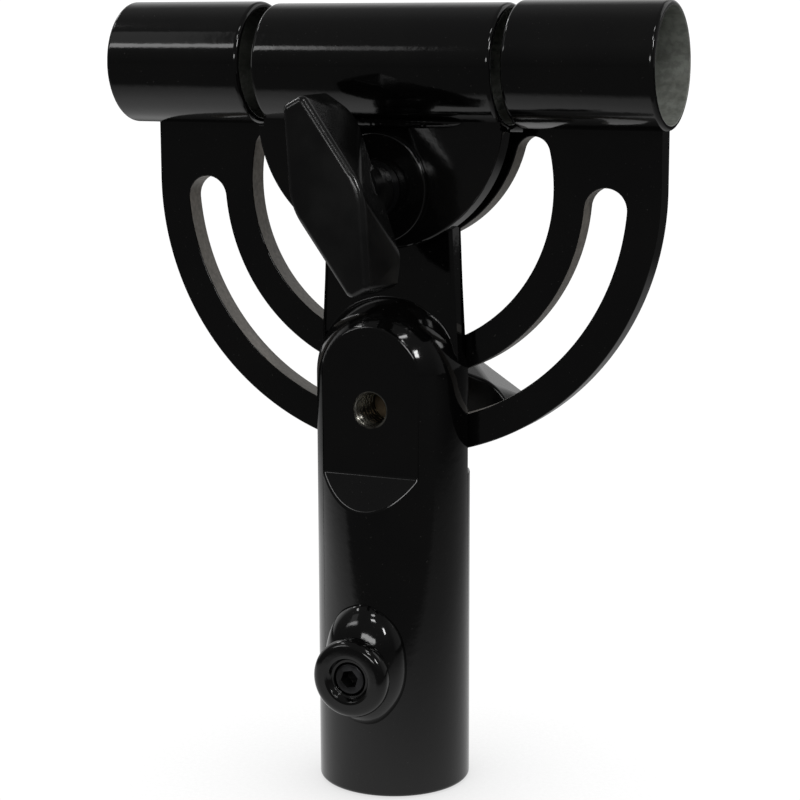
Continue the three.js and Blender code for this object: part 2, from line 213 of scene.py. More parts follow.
def mesh_from(bm, name):
    """A mesh in metres from a bmesh in millimetres, with its faces turned outwards."""
    bmesh.ops.remove_doubles(bm, verts=bm.verts, dist=1e-4)
    bmesh.ops.recalc_face_normals(bm, faces=bm.faces)
    mesh = bpy.data.meshes.new(name)
    bmesh.ops.scale(bm, vec=(MM, MM, MM), verts=bm.verts)
    bm.to_mesh(mesh)
    bm.free()
    return mesh


def scratch(mesh):
    """An object that only takes part in a boolean or a modifier."""
    made = bpy.data.objects.new("scratch", mesh)
    bpy.context.scene.collection.objects.link(made)
    return made


def applied(mesh, kind, **settings):
    """The mesh that one modifier makes of a mesh."""
    holder = scratch(mesh)
    modifier = holder.modifiers.new("step", kind)
    for key, value in settings.items():
        setattr(modifier, key, value)
    graph = bpy.context.evaluated_depsgraph_get()
    made = bpy.data.meshes.new_from_object(holder.evaluated_get(graph))
    bpy.data.objects.remove(holder)
    return made


def combined(mesh, operation, *others):
    """The mesh joined with, or cut by, each of the others in turn."""
    for other in others:
        tool = scratch(other)
        mesh = applied(mesh, "BOOLEAN", operation=operation, object=tool, solver="EXACT")
        bpy.data.objects.remove(tool)
    return mesh


def cut(mesh, *others):
    return combined(mesh, "DIFFERENCE", *others)


def joined(mesh, *others):
    return combined(mesh, "UNION", *others)


def softened(mesh, width, segments=3):
    """The mesh with its sharp edges rounded to a width in millimetres."""
    return applied(
        mesh, "BEVEL", width=width * MM, segments=segments, limit_method="ANGLE",
        angle_limit=math.radians(24), use_clamp_overlap=False, miter_outer="MITER_ARC",
    )


def true_normals(mesh, surfaces):
    """Sets the normals of a mesh's flat and round faces to those of the surfaces they lie on. Each surface
    is a function from a point in millimetres to a normal, or to None where the point isn't on it."""
    normals = [corner.vector.copy() for corner in mesh.corner_normals]
    for face in mesh.polygons:
        for surface in surfaces:
            found = [surface(mesh.vertices[v].co / MM) for v in face.vertices]
            if all(found) and all(n.dot(face.normal) > 0.998 for n in found):
                for loop, normal in zip(face.loop_indices, found):
                    normals[loop] = normal
                break
    mesh.normals_split_custom_set(normals)


def flat_surface(normal, distance):
    """A flat face's surface, for true_normals."""
    normal = Vector(normal).normalized()
    return lambda point: normal if abs(point.dot(normal) - distance) < ON_SURFACE else None


def round_surface(radius, centre, axis=None):
    """The skin of a cylinder along an axis, or of a ball, for true_normals."""
    def normal_at(point):
        arm = point - Vector(centre)
        if axis is not None:
            arm[axis] = 0
        return arm.normalized() if abs(arm.length - radius) < ON_SURFACE else None
    return normal_at


def piece(name, mesh, body, material, stands_for=(), sharp=30, surfaces=()):
    """A finished piece of the object, riding on its body."""
    mesh.shade_smooth()
    mesh.set_sharp_from_angle(angle=math.radians(sharp))
    mesh = applied(mesh, "WEIGHTED_NORMAL", keep_sharp=True, weight=90)
    if surfaces:
        true_normals(mesh, surfaces)
    mesh.name = name
    mesh.materials.clear()
    mesh.materials.append(material)
    made = bpy.data.objects.new(name, mesh)
    bpy.context.scene.collection.objects.link(made)
    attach(made, body)
    if stands_for:
        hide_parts(*stands_for)
    return made


def eased(points, steps=5):
    """A polyline of [a, b] or [a, b, radius], with an arc at each corner that has a radius."""
    out = []
    for i, point in enumerate(points):
        radius = point[2] if len(point) > 2 else 0
        corner = Vector(point[:2])
        if not radius or i in (0, len(points) - 1):
            out.append(corner)
            continue
        into = (Vector(points[i - 1][:2]) - corner).normalized()
        away = (Vector(points[i + 1][:2]) - corner).normalized()
        half = into.angle(away) / 2
        reach = radius / math.tan(half)
        centre = corner + (into + away).normalized() * (radius / math.sin(half))
        start = corner + into * reach - centre
        end = corner + away * reach - centre
        sweep = start.angle_signed(end)
        out += [centre + Matrix.Rotation(-sweep * k / steps, 2) @ start for k in range(steps + 1)]
    return out


def revolve(points, axis="y", centre=(0, 0, 0), segments=FINE, closed=False):
    """A profile of (radius, distance) turned about a line along an axis through a point."""
    bm = bmesh.new()
    to_axis = {
        "x": lambda r, h, a: (h, r * math.cos(a), r * math.sin(a)),
        "y": lambda r, h, a: (r * math.cos(a), h, r * math.sin(a)),
        "z": lambda r, h, a: (r * math.cos(a), r * math.sin(a), h),
    }[axis]
    rings = []
    for r, h in points:
        count = 1 if r < 1e-6 else segments
        rings.append([
            bm.verts.new(Vector(to_axis(r, h, 2 * math.pi * k / segments)) + Vector(centre))
            for k in range(count)
        ])
    pairs = list(zip(rings, rings[1:])) + ([(rings[-1], rings[0])] if closed else [])
    for one, two in pairs:
        for k in range(segments):
            n = k + 1
            corners = [one[k % len(one)], one[n % len(one)], two[n % len(two)], two[k % len(two)]]
            loop = list(dict.fromkeys(corners))
            if len(loop) > 2:
                bm.faces.new(loop)
    return mesh_from(bm, "turned")


def box_mesh(lowest, highest):
    """A box between two corners, to cut with."""
    bm = bmesh.new()
    size = Vector(highest) - Vector(lowest)
    middle = (Vector(highest) + Vector(lowest)) / 2
    bmesh.ops.create_cube(bm, size=1, matrix=Matrix.Translation(middle) @ Matrix.Diagonal((*size, 1)))
    return mesh_from(bm, "box")


def prism(points, axis, start, end):
    """A flat outline run along X or Y. The outline is in Y and Z for X, and in X and Z for Y."""
    bm = bmesh.new()
    place = (lambda a, b, s: (s, a, b)) if axis == "x" else (lambda a, b, s: (a, s, b))
    near = [bm.verts.new(place(a, b, start)) for a, b in points]
    far = [bm.verts.new(place(a, b, end)) for a, b in points]
    bm.faces.new(near)
    bm.faces.new(far)
    for k in range(len(points)):
        n = (k + 1) % len(points)
        bm.faces.new([near[k], near[n], far[n], far[k]])
    return mesh_from(bm, "prism")


def cylinder(axis, radius, centre, start, end, segments=FINE):
    """A rod along an axis through a point, to cut or join with."""
    return revolve([(0, start), (radius, start), (radius, end), (0, end)], axis, centre, segments)


def arc(cx, cz, radius, start, end, steps):
    """Points round a circle in X and Z, without the last one."""
    return [
        (cx + radius * math.cos(start + (end - start) * k / steps),
         cz + radius * math.sin(start + (end - start) * k / steps))
        for k in range(steps)
    ]


def plate(loops, front, back, edge):
    """A plate with eased edges between two Y faces. Its loops are closed outlines in X and Z from the pivot,
    the outside one first."""
    curve = bpy.data.curves.new("outline", "CURVE")
    curve.dimensions = "2D"
    curve.fill_mode = "BOTH"
    curve.extrude = (back - front) / 2 * MM - edge * MM
    curve.bevel_depth = edge * MM
    curve.bevel_resolution = 2
    curve.offset = -edge * MM
    for loop in loops:
        spline = curve.splines.new("POLY")
        spline.points.add(len(loop) - 1)
        for point, (x, z) in zip(spline.points, loop):
            point.co = (x * MM, z * MM, 0, 1)
        spline.use_cyclic_u = True
    holder = bpy.data.objects.new("outline", curve)
    bpy.context.scene.collection.objects.link(holder)
    graph = bpy.context.evaluated_depsgraph_get()
    mesh = bpy.data.meshes.new_from_object(holder.evaluated_get(graph))
    bpy.data.objects.remove(holder)
    upright = Matrix.Rotation(math.radians(90), 4, "X")
    mesh.transform(Matrix.Translation((0, (front + back) / 2 * MM, PIVOT_Z * MM)) @ upright)
    bm = bmesh.new()
    bm.from_mesh(mesh)
    bmesh.ops.remove_doubles(bm, verts=bm.verts, dist=1e-6)
    bmesh.ops.recalc_face_normals(bm, faces=bm.faces)
    bm.to_mesh(mesh)
    bm.free()
    return mesh


def bridge(bm, one, two):
    """A band of faces between two rings of as many points."""
    for k in range(len(one)):
        n = (k + 1) % len(one)
        bm.faces.new([one[k], one[n], two[n], two[k]])


def thread(radius, depth, start, end, centre_z, inner=False):
    """A threaded rod along Y, or a threaded sleeve that lines a hole, with a wall outside the thread."""
    bm = bmesh.new()
    segments = 48
    per_turn = 10
    wall = 0.3
    run_in = 0.7 # turns over which a rod's thread fades out at each end
    count = round((end - start) / THREAD_PITCH * per_turn)
    angles = [2 * math.pi * k / segments for k in range(segments)]

    def ring_at(y, radius_at):
        return [
            bm.verts.new((radius_at(a) * math.cos(a), y, centre_z + radius_at(a) * math.sin(a)))
            for a in angles
        ]

    def threaded(y):
        from_end = min(y - start, end - y) / (THREAD_PITCH * run_in)
        fade = 1 if inner else min(1, from_end)

        def radius_at(angle):
            phase = (y / THREAD_PITCH - angle / (2 * math.pi)) % 1
            ridge = max(0, min(1, 1.25 * (1 - abs(2 * phase - 1)) - 0.1))
            return radius - depth * (ridge if inner else 1 - ridge * fade)
        return radius_at

    places = [start + (end - start) * i / count for i in range(count + 1)]
    rings = [ring_at(y, threaded(y)) for y in places]
    for one, two in zip(rings, rings[1:]):
        bridge(bm, one, two)
    if inner:
        walls = [ring_at(y, lambda angle: radius + wall) for y in (start, end)]
        bridge(bm, rings[0], walls[0])
        bridge(bm, rings[-1], walls[1])
        bridge(bm, walls[0], walls[1])
    else:
        bm.faces.new(rings[0])
        bm.faces.new(rings[-1])
    return mesh_from(bm, "thread")


# ---- Materials ----

def new_material(name):
    """A node material: itself, its tree, its shader and the place on the object."""
    material = bpy.data.materials.new(name)
    material.use_nodes = True
    tree = material.node_tree
    shader = tree.nodes["Principled BSDF"]
    where = tree.nodes.new("ShaderNodeTexCoord").outputs["Object"]
    return material, tree, shader, where


def noise(tree, where, scale, detail, stretch=None):
    """A noise texture's value, at a scale in features per metre."""
    if stretch:
        mapping = tree.nodes.new("ShaderNodeMapping")
        mapping.inputs["Scale"].default_value = stretch
        tree.links.new(where, mapping.inputs["Vector"])
        where = mapping.outputs["Vector"]
    texture = tree.nodes.new("ShaderNodeTexNoise")
    texture.inputs["Scale"].default_value = scale
    texture.inputs["Detail"].default_value = detail
    texture.inputs["Roughness"].default_value = 0.55
    tree.links.new(where, texture.inputs["Vector"])
    return texture.outputs["Fac"]


def coordinates(tree, vector):
    """A vector's X, Y and Z."""
    split = tree.nodes.new("ShaderNodeSeparateXYZ")
    tree.links.new(vector, split.inputs["Vector"])
    return split.outputs["X"], split.outputs["Y"], split.outputs["Z"]


def remap(tree, value, from_low, from_high, to_low, to_high):
    """A value's place between two numbers, carried over to two others and held between them."""
    made = tree.nodes.new("ShaderNodeMapRange")
    tree.links.new(value, made.inputs["Value"])
    made.inputs["From Min"].default_value = from_low
    made.inputs["From Max"].default_value = from_high
    made.inputs["To Min"].default_value = to_low
    made.inputs["To Max"].default_value = to_high
    return made.outputs["Result"]


def math_node(tree, operation, one, two=0.0):
    """One arithmetic step on one or two values, each a number or a socket."""
    made = tree.nodes.new("ShaderNodeMath")
    made.operation = operation
    for socket, value in zip(made.inputs, (one, two)):
        if isinstance(value, (int, float)):
            socket.default_value = value
        else:
            tree.links.new(value, socket)
    return made.outputs[0]


def length_of(tree, one, two):
    """The distance whose two parts are sockets."""
    squares = [math_node(tree, "MULTIPLY", part, part) for part in (one, two)]
    return math_node(tree, "SQRT", math_node(tree, "ADD", *squares))


def mixed(tree, factor, one, two):
    """A colour between two, each a colour or a socket."""
    made = tree.nodes.new("ShaderNodeMix")
    made.data_type = "RGBA"
    tree.links.new(factor, made.inputs[0])
    for socket, value in ((made.inputs[6], one), (made.inputs[7], two)):
        if isinstance(value, tuple):
            socket.default_value = (*value, 1)
        else:
            tree.links.new(value, socket)
    return made.outputs[2]


def bump(tree, shader, *layers):
    """Chains bump layers of (height socket, strength, distance in metres) into the shader's normal."""
    normal = None
    for height, strength, distance in layers:
        made = tree.nodes.new("ShaderNodeBump")
        made.inputs["Strength"].default_value = strength
        made.inputs["Distance"].default_value = distance
        tree.links.new(height, made.inputs["Height"])
        if normal:
            tree.links.new(normal, made.inputs["Normal"])
        normal = made.outputs["Normal"]
    tree.links.new(normal, shader.inputs["Normal"])


def over(tree, shader, share, colour, roughness):
    """Lays a second finish, a colour and a roughness socket, over a shader's own where the share says."""
    for key, second in (("Base Color", colour), ("Roughness", roughness)):
        first = shader.inputs[key].links[0].from_socket
        tree.links.new(mixed(tree, share, first, second), shader.inputs[key])


def enamel(name):
    """Black enamel: a little orange peel, fine dust, and a gloss that varies in clouds. Returns what
    new_material does, so that a second finish can go over it."""
    material, tree, shader, where = new_material(name)
    peel = noise(tree, where, 420, 2)
    fine = noise(tree, where, 2600, 4)
    cloud = noise(tree, where, 38, 4)
    specks = remap(tree, noise(tree, where, 1500, 2), 0.7, 0.78, 0, 1)
    depth = remap(tree, cloud, 0.3, 0.7, 0, 1)
    base = mixed(tree, depth, (0.0012, 0.0012, 0.0014), (0.0028, 0.0027, 0.0025))
    dust = math_node(tree, "MULTIPLY", specks, 0.25)
    dusty = mixed(tree, dust, base, (0.09, 0.085, 0.08))
    tree.links.new(dusty, shader.inputs["Base Color"])
    gloss = remap(tree, cloud, 0.3, 0.7, 0.06, 0.12)
    rough = math_node(tree, "ADD", gloss, math_node(tree, "MULTIPLY", specks, 0.2))
    tree.links.new(rough, shader.inputs["Roughness"])
    shader.inputs["Specular IOR Level"].default_value = 0.42
    bump(tree, shader, (peel, 0.10, 0.0002), (fine, 0.05, 0.00003))
    return material, tree, shader, where


def moulded_black(name):
    """Glass-filled nylon: satin, with a fine spark-eroded grain and handled, shinier patches."""
    material, tree, shader, where = new_material(name)
    grain = noise(tree, where, 3200, 3)
    cloud = noise(tree, where, 90, 3)
    polish = remap(tree, noise(tree, where, 45, 4), 0.52, 0.66, 0, 1)
    depth = remap(tree, cloud, 0.3, 0.7, 0, 1)
    base = mixed(tree, depth, (0.0022, 0.0022, 0.0024), (0.0045, 0.0045, 0.0043))
    base = mixed(tree, math_node(tree, "MULTIPLY", polish, 0.3), base, (0.02, 0.02, 0.02))
    tree.links.new(base, shader.inputs["Base Color"])
    satin = remap(tree, cloud, 0.3, 0.7, 0.17, 0.25)
    rough = math_node(tree, "SUBTRACT", satin, math_node(tree, "MULTIPLY", polish, 0.04))
    tree.links.new(rough, shader.inputs["Roughness"])
    shader.inputs["Specular IOR Level"].default_value = 0.45
    bump(tree, shader, (grain, 0.12, 0.00005), (cloud, 0.08, 0.0003))
    return material


def machined(name, colour, dark, low_rough, high_rough, metallic=1.0):
    """Bare or plated metal with turning marks round Y, stains and a fine grain."""
    material, tree, shader, where = new_material(name)
    marks = noise(tree, where, 160, 4, stretch=(1, 18, 1))
    stain = noise(tree, where, 120, 5)
    grain = noise(tree, where, 4200, 2)
    stained = remap(tree, stain, 0.4, 0.62, 0, 1)
    tree.links.new(mixed(tree, stained, colour, dark), shader.inputs["Base Color"])
    tree.links.new(remap(tree, marks, 0.3, 0.7, low_rough, high_rough), shader.inputs["Roughness"])
    shader.inputs["Metallic"].default_value = metallic
    bump(tree, shader, (marks, 0.2, 0.00008), (grain, 0.1, 0.00002))
    return material


def painted_bore(name, axis_z, bareness_in_gap_shade):
    """Black enamel outside a tube along X, and bare, streaked steel with a little overspray inside it. Near
    the middle of the head, by the gaps between the sleeves, only a share of the steel shows, so the bore is
    darker there: painted shade."""
    material, tree, shader, where = enamel(name)
    x, y, z = coordinates(tree, where)
    dy = math_node(tree, "SUBTRACT", y, SLEEVE_Y * MM)
    dz = math_node(tree, "SUBTRACT", z, axis_z * MM)
    wall = SLEEVE_BORE_R * MM
    inside = remap(tree, length_of(tree, dy, dz), wall + 0.00025, wall + 0.00005, 0, 1)
    spray = remap(tree, noise(tree, where, 700, 4), 0.42, 0.6, 1, 0.72)
    inside = math_node(tree, "MULTIPLY", inside, spray)
    # Painted shade: the bore is darker near the middle of the head, where the gaps between the sleeves are.
    bareness_with_gap_shade = remap(tree, math_node(tree, "ABSOLUTE", x), 0.044, 0.060, bareness_in_gap_shade, 1)
    inside = math_node(tree, "MULTIPLY", inside, bareness_with_gap_shade)
    streaks = noise(tree, where, 130, 5, stretch=(0.35, 1, 1))
    steel = mixed(tree, remap(tree, streaks, 0.35, 0.65, 0, 1), (0.46, 0.48, 0.44), (0.24, 0.25, 0.22))
    over(tree, shader, inside, steel, remap(tree, streaks, 0.3, 0.7, 0.38, 0.6))
    tree.links.new(math_node(tree, "MULTIPLY", inside, 0.4), shader.inputs["Metallic"])
    return material


def plate_enamel_painted_wall_light(name):
    """Black enamel on a plate's faces and rim, and a pale, rough grey on the walls of its cut-outs: painted
    light.
    """
    material, tree, shader, where = enamel(name)
    x, _, z = coordinates(tree, where)
    dz = math_node(tree, "SUBTRACT", z, PIVOT_Z * MM)
    _, facing, _ = coordinates(tree, tree.nodes.new("ShaderNodeNewGeometry").outputs["Normal"])
    wall = remap(tree, math_node(tree, "ABSOLUTE", facing), 0.25, 0.5, 1, 0)
    reach, top = PAINTED_LIGHT_REACH * MM, PAINTED_LIGHT_TOP * MM
    within = remap(tree, length_of(tree, x, dz), reach, reach - 0.001, 0, 1)
    below = remap(tree, dz, top + 0.0005, top - 0.0005, 0, 1)
    wall = math_node(tree, "MULTIPLY", wall, within)
    wall = math_node(tree, "MULTIPLY", wall, below)
    # Painted light: the cut-outs' walls are lighter than the enamel, standing in for the light they catch;
    # the rim's wall stays black.
    wall_noise = noise(tree, where, 900, 4)
    painted_wall_light = mixed(tree, remap(tree, wall_noise, 0.35, 0.65, 0, 1), (0.18, 0.165, 0.15), (0.285, 0.265, 0.235))
    over(tree, shader, wall, painted_wall_light, remap(tree, wall_noise, 0.3, 0.7, 0.38, 0.5))
    return material


ENAMEL = enamel("black_enamel")[0]
NYLON = moulded_black("moulded_nylon")
ZINC = machined("zinc_plate", (0.56, 0.56, 0.55), (0.38, 0.37, 0.35), 0.25, 0.42)
BARE_THREAD = machined("cut_thread", (0.36, 0.35, 0.31), (0.05, 0.045, 0.04), 0.16, 0.3)
STUD_METAL = machined("stud_zinc", (0.34, 0.26, 0.17), (0.22, 0.16, 0.10), 0.3, 0.45)
OXIDE = machined("black_oxide", (0.035, 0.035, 0.037), (0.018, 0.018, 0.018), 0.28, 0.45, 0.9)
BRASS = machined("brass_tip", (0.62, 0.46, 0.2), (0.42, 0.3, 0.13), 0.25, 0.4)
OUTER_BORE = painted_bore("outer_tube", SLEEVE_Z, 0.15)
MIDDLE_BORE = painted_bore("middle_tube", MIDDLE_Z, 0.6)
PLATE_PAINTED_WALL_LIGHT = plate_enamel_painted_wall_light("plate_painted_wall_light")


# ---- Receiver ----

def tongue_outline():
    """The tongue's outline from the pivot: round at the top, and spreading to the bar's sides below."""
    half, z = TONGUE_SHOULDER
    tangent = math.atan2(z, half) + math.acos(TONGUE_TOP_R / math.hypot(half, z))
    foot = -DOME_DROP - 10
    top = arc(0, 0, TONGUE_TOP_R, tangent, math.pi - tangent, 60)
    last = (TONGUE_TOP_R * math.cos(math.pi - tangent), TONGUE_TOP_R * math.sin(math.pi - tangent))
    return [(-TONGUE_FOOT_HALF, foot), (TONGUE_FOOT_HALF, foot), (half, z), *top, last, (-half, z)]


def receiver_bar():
    """A domed round bar with a socket in its foot, cut away at the back, joined to the tongue, milled flat
    in front and drilled."""
    dome_z = PIVOT_Z - DOME_DROP
    steps = 32
    angles = [math.pi / 2 * k / steps for k in range(steps)]
    dome = [(BAR_R * math.cos(a), dome_z + BAR_R * math.sin(a)) for a in angles]
    lip = eased([
        (SOCKET_R, SOCKET_DEPTH), (SOCKET_R, 0, LIP_INNER_EDGE), (BAR_R, 0, LIP_OUTER_EDGE), (BAR_R, dome_z),
    ])
    skin = [(0, SOCKET_DEPTH), *lip[:-1], *dome, (0, dome_z + BAR_R)]
    body = revolve(skin, "z", segments=ROUND)
    back = box_mesh((-FAR, TONGUE_HALF, PIVOT_Z - BACK_CUT_DROP), (FAR, FAR, PIVOT_Z + FAR))
    reach = 12 # how far the cutter reaches in front of the flat
    flat_bottom = PIVOT_Z - FLAT_DROP
    run_out_bottom = flat_bottom - reach * RUN_OUT_HEIGHT / (BAR_R + FLAT_Y)
    side = [
        (FLAT_Y, PIVOT_Z), (FLAT_Y, flat_bottom),
        (FLAT_Y - reach, run_out_bottom), (FLAT_Y - reach, PIVOT_Z),
    ]
    body = cut(body, back)
    body = joined(body, plate([tongue_outline()], -TONGUE_HALF, TONGUE_HALF, PLATE_EDGE))
    body = cut(body, prism(side, "x", -FAR, FAR))
    body = softened(body, BAR_EDGE)
    return cut(
        body,
        cylinder("y", HOLE_R, (0, 0, PIVOT_Z), -FAR, FAR),
        cylinder("y", HOLE_R, (0, 0, LOCK_Z), SCREW_TIP - HAIR, FAR),
        cylinder("y", TAPPED_R, (0, 0, LOCK_Z), -FAR, SCREW_TIP),
        cylinder("y", SCREW_HOLE_R, (0, 0, BOSS_Z), -FAR, 0),
    )


def hole_thread():
    """The thread in the bar's tapped hole, just inside the hole's wall and ends."""
    start, end = FLAT_Y + 0.4, SCREW_TIP - 0.3
    return thread(TAPPED_R - 0.02, THREAD_DEPTH, start, end, LOCK_Z, inner=True)


def boss_profile(gap=0.0):
    """The boss's disc and waist, from the front lip to the bar, with a gap outside them."""
    disc_r, waist_r = BOSS_R + gap, BOSS_WAIST_R + gap
    return [
        (disc_r, BOSS_FRONT, BOSS_EDGE),
        (disc_r, BOSS_FRONT + BOSS_DISC_DEPTH + gap, BOSS_EDGE),
        (waist_r, BOSS_FRONT + BOSS_WAIST_DEPTH + gap, 1.0),
        (waist_r, BOSS_ROOT_Y),
    ]


def boss():
    """The spool-shaped boss, with a dished recess round the set screw's hole."""
    floor_y = BOSS_FRONT + BOSS_RECESS_DEPTH
    points = [
        (SCREW_HOLE_R, BOSS_ROOT_Y), (SCREW_HOLE_R, floor_y, 0.25), (BOSS_RECESS_R, floor_y, 0.25),
        (BOSS_DISH_R, BOSS_FRONT + 0.1, 0.5), (BOSS_RIM_R, BOSS_FRONT, 0.4), *boss_profile(),
    ]
    return revolve(eased(points, 6), "y", (0, 0, BOSS_Z), MIDDLING, closed=True)


def boss_weld():
    """The oval dome of weld round the boss's waist: smooth, with the faintest ripple."""
    lo, hi = low("boss_weld"), high("boss_weld")
    bite = 0.2 # how far the weld reaches into the bar
    ripple, waves = 0.006, 7
    half = ((hi.x - lo.x) / 2 - HAIR, BEAD_HALF_Y, (hi.z - lo.z) / 2 - HAIR)
    centre = Vector((0, BEAD_Y, (hi.z + lo.z) / 2))
    bm = bmesh.new()
    bmesh.ops.create_uvsphere(bm, u_segments=96, v_segments=64, radius=1)
    for vert in bm.verts:
        around = math.atan2(vert.co.z, vert.co.x)
        swell = 1 - ripple * (1 + math.sin(waves * around + 0.8))
        vert.co = Vector([c * h * swell for c, h in zip(vert.co, half)]) + centre
    skin = cylinder("z", BAR_R - bite, (0, 0, 0), 0, PIVOT_Z, ROUND)
    back, front = -10, BOSS_FRONT - 5
    waist_to_disc = boss_profile(HAIR)[2:0:-1]
    envelope = eased([
        (0, back), (BOSS_WAIST_R + HAIR, back), *waist_to_disc, (BOSS_R + HAIR, front), (0, front),
    ], 6)
    return cut(mesh_from(bm, "dome"), skin, revolve(envelope, "y", (0, 0, BOSS_Z), MIDDLING))


def set_screw():
    """A headless screw with a hexagonal socket."""
    front, back = low("set_screw").y, high("set_screw").y
    side = eased([(0, front), (SET_SCREW_R, front, 0.45), (SET_SCREW_R, back, 0.6), (0, back)], 4)
    body = revolve(side, "y", (0, 0, BOSS_Z), 48)
    corner_r = HEX_ACROSS / math.sqrt(3)
    turns = [math.pi / 3 * k + 0.2 for k in range(6)]
    hexagon = [(corner_r * math.cos(a), corner_r * math.sin(a) + BOSS_Z) for a in turns]
    return softened(cut(body, prism(hexagon, "y", front - 1, front + HEX_DEPTH)), 0.12, 2)


def screw_tip():
    """The soft tip ahead of the set screw."""
    front, back = low("set_screw_tip").y, high("set_screw_tip").y
    side = eased([(0, front), (TIP_R, front, 0.2), (TIP_R, back, 0.6), (0, back)])
    return revolve(side, "y", (0, 0, BOSS_Z))


def washer(node, edge):
    """A flat washer with eased edges, in place of a CAD ring along Y."""
    lo, hi = low(node), high(node)
    outer = (hi.x - lo.x) / 2
    start = (HOLE_R, (lo.y + hi.y) / 2)
    points = eased([
        start, (HOLE_R, lo.y, edge / 2), (outer, lo.y, edge), (outer, hi.y, edge), (HOLE_R, hi.y, edge / 2),
        start,
    ], 4)
    return revolve(points, "y", (0, 0, (hi.z + lo.z) / 2), MIDDLING)


# ---- Head and clamp ----

def slot_loop():
    """The arc slot round the pivot, with round ends."""
    right, left = -math.pi / 2 + SLOT_ANGLE, -math.pi / 2 - SLOT_ANGLE
    outer, inner = SLOT_R + SLOT_HALF, SLOT_R - SLOT_HALF
    ends = [(SLOT_R * math.cos(a), SLOT_R * math.sin(a)) for a in (right, left)]
    return [
        *arc(0, 0, outer, left, right, 120),
        *arc(*ends[0], SLOT_HALF, right, right + math.pi, 28),
        *arc(0, 0, inner, right, left, 120),
        *arc(*ends[1], SLOT_HALF, left + math.pi, left + 2 * math.pi, 28),
    ]


def crescent_loop():
    """The crescent between a circle round the pivot and the hub's, with round tips."""
    from_pivot = CRESCENT_R - CRESCENT_END_R
    from_hub = DISC_R + CRESCENT_END_R
    z = (HUB_RISE ** 2 + from_pivot ** 2 - from_hub ** 2) / (2 * HUB_RISE)
    x = math.sqrt(from_pivot ** 2 - z ** 2)
    outer, inner = math.atan2(z, x), math.atan2(z - HUB_RISE, x)
    return [
        *arc(0, 0, CRESCENT_R, -math.pi - outer, outer, 110),
        *arc(x, z, CRESCENT_END_R, outer, inner + math.pi, 24),
        *arc(0, HUB_RISE, DISC_R, inner, -math.pi - inner, 90),
        *arc(-x, z, CRESCENT_END_R, -inner, math.pi - outer, 24),
    ]


def head_plate():
    """The slotted plate, cut to seat the outer sleeves and to clear the middle one."""
    top = high("slotted_plate").z - PIVOT_Z
    outline = [
        (PLATE_HALF, top), (-PLATE_HALF, top),
        *arc(0, 0, PLATE_HALF, -math.pi, 0, 140), (PLATE_HALF, 0),
    ]
    body = plate([outline, slot_loop(), crescent_loop()], PLATE_FRONT, PLATE_BACK, PLATE_EDGE)
    left = low("middle_sleeve").x - MIDDLE_LEFT_CLEARANCE
    right = high("middle_sleeve").x + MIDDLE_RIGHT_CLEARANCE
    tube = cylinder("x", SLEEVE_R - HAIR, (0, SLEEVE_Y, SLEEVE_Z), -WIDE, WIDE, ROUND)
    room = cylinder("x", SLEEVE_R + MIDDLE_CLEARANCE, (0, SLEEVE_Y, MIDDLE_Z), left, right, ROUND)
    return cut(body, tube, room)


def half_disc():
    """The front plate, cut to seat the middle sleeve and shouldered at its ends."""
    outline = [
        (DISC_R, DISC_TOP_RISE), (-DISC_R, DISC_TOP_RISE),
        *arc(0, HUB_RISE, DISC_R, -math.pi, 0, 120), (DISC_R, HUB_RISE),
    ]
    body = plate([outline], DISC_FRONT, DISC_BACK, DISC_EDGE)
    left, right = low("middle_sleeve").x, high("middle_sleeve").x
    tube = cylinder("x", SLEEVE_R - HAIR, (0, SLEEVE_Y, MIDDLE_Z), -WIDE, WIDE, ROUND)
    foot = PIVOT_Z + DISC_SHOULDER_RISE
    return cut(
        body, tube,
        box_mesh((-WIDE, -FAR, foot), (left, FAR, foot + FAR)),
        box_mesh((right, -FAR, foot), (WIDE, FAR, foot + FAR)),
    )


def sleeve(node, axis_z):
    """A tube along X with eased ends."""
    lo, hi = low(node), high(node)
    middle = (lo.x + hi.x) / 2
    points = [
        (SLEEVE_BORE_R, middle), (SLEEVE_BORE_R, lo.x, BORE_EDGE), (SLEEVE_R, lo.x, SLEEVE_EDGE),
        (SLEEVE_R, hi.x, SLEEVE_EDGE), (SLEEVE_BORE_R, hi.x, BORE_EDGE), (SLEEVE_BORE_R, middle),
    ]
    return revolve(eased(points, 6)[:-1], "x", (0, SLEEVE_Y, axis_z), ROUND, closed=True)


def weld(node, axis_z, face_y, outward, height=0.10):
    """A bead along X in the corner between a sleeve and a plate's face, with ripples of a height that is
    a share of its size. outward is -1 in front, 1 behind."""
    lo, hi = low(node), high(node)
    length = hi.x - lo.x
    root_y = face_y - outward * WELD_ROOT
    corner_z = axis_z - math.sqrt(SLEEVE_R ** 2 - (face_y - SLEEVE_Y) ** 2)
    along, around = round(length * 4), 12
    reach = abs((hi.y if outward > 0 else lo.y) - face_y)
    fall = corner_z - lo.z
    bm = bmesh.new()
    rings = []
    for i in range(along + 1):
        share = i / along
        x = lo.x + length * share
        end = math.sqrt(max(0.0, 1 - abs(2 * share - 1) ** 6))
        size = end * min(1, 1 + height * math.sin(x * 2 * math.pi / RIPPLE_LENGTH))
        ring = [bm.verts.new((x, root_y, corner_z + WELD_ROOT))]
        for k in range(around + 1):
            angle = math.pi / 2 * k / around
            y = face_y + outward * reach * math.cos(angle) * size
            z = corner_z - fall * math.sin(angle) * size
            tube_z = axis_z - math.sqrt(max(0, SLEEVE_R ** 2 - (y - SLEEVE_Y) ** 2))
            ring.append(bm.verts.new((x, y, min(z, tube_z + 0.5))))
        ring.append(bm.verts.new((x, root_y, corner_z - fall * end)))
        rings.append(ring)
    for one, two in zip(rings, rings[1:]):
        bridge(bm, one, two)
    bm.faces.new(rings[0])
    bm.faces.new(rings[-1])
    return mesh_from(bm, "bead")


